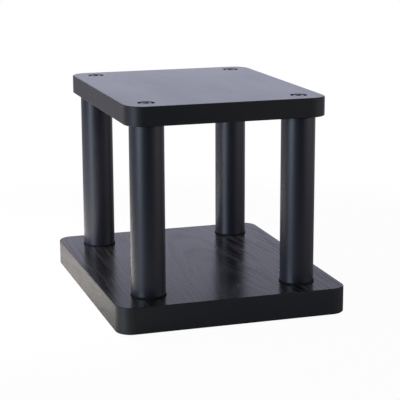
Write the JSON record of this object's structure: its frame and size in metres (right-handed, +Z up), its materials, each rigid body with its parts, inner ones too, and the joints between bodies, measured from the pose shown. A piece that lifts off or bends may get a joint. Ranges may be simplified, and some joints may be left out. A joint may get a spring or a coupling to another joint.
{
  "type": "speaker stand",
  "caption": "Low rigid speaker stand: a flat rounded top board on round tubular posts, one near each corner, above a larger base board on thin pads.",
  "frame": {"origin": "on the surface that the stand rests on, under the middle of the base board", "axes": "+Z up, +X to the right along the short front edge of the boards, +Y from the front to the back along their long edges"},
  "size_m": [0.22, 0.27, 0.204],
  "materials": {
    "black_board": "black stain over open grain, satin lacquer",
    "coated_tube": "satin black powder coat",
    "rubber_gasket": "matte black",
    "zinc_insert": "zinc plated, turned",
    "black_screw": "black oxide",
    "rubber_pad": "matte black"
  },
  "bodies": {
    "root": {"base_board": "black_board", "top_board": "black_board", "base_screws": "black_screw", "top_screws": "black_screw", "front_left_post_tube": "coated_tube", "front_left_lower_gasket": "rubber_gasket", "front_left_upper_gasket": "rubber_gasket", "front_left_lower_insert": "zinc_insert", "front_left_upper_insert": "zinc_insert", "front_left_foot_pad": "rubber_pad", "front_right_post_tube": "coated_tube", "front_right_lower_gasket": "rubber_gasket", "front_right_upper_gasket": "rubber_gasket", "front_right_lower_insert": "zinc_insert", "front_right_upper_insert": "zinc_insert", "front_right_foot_pad": "rubber_pad", "back_left_post_tube": "coated_tube", "back_left_lower_gasket": "rubber_gasket", "back_left_upper_gasket": "rubber_gasket", "back_left_lower_insert": "zinc_insert", "back_left_upper_insert": "zinc_insert", "back_left_foot_pad": "rubber_pad", "back_right_post_tube": "coated_tube", "back_right_lower_gasket": "rubber_gasket", "back_right_upper_gasket": "rubber_gasket", "back_right_lower_insert": "zinc_insert", "back_right_upper_insert": "zinc_insert", "back_right_foot_pad": "rubber_pad"}
  },
  "joints": []
}
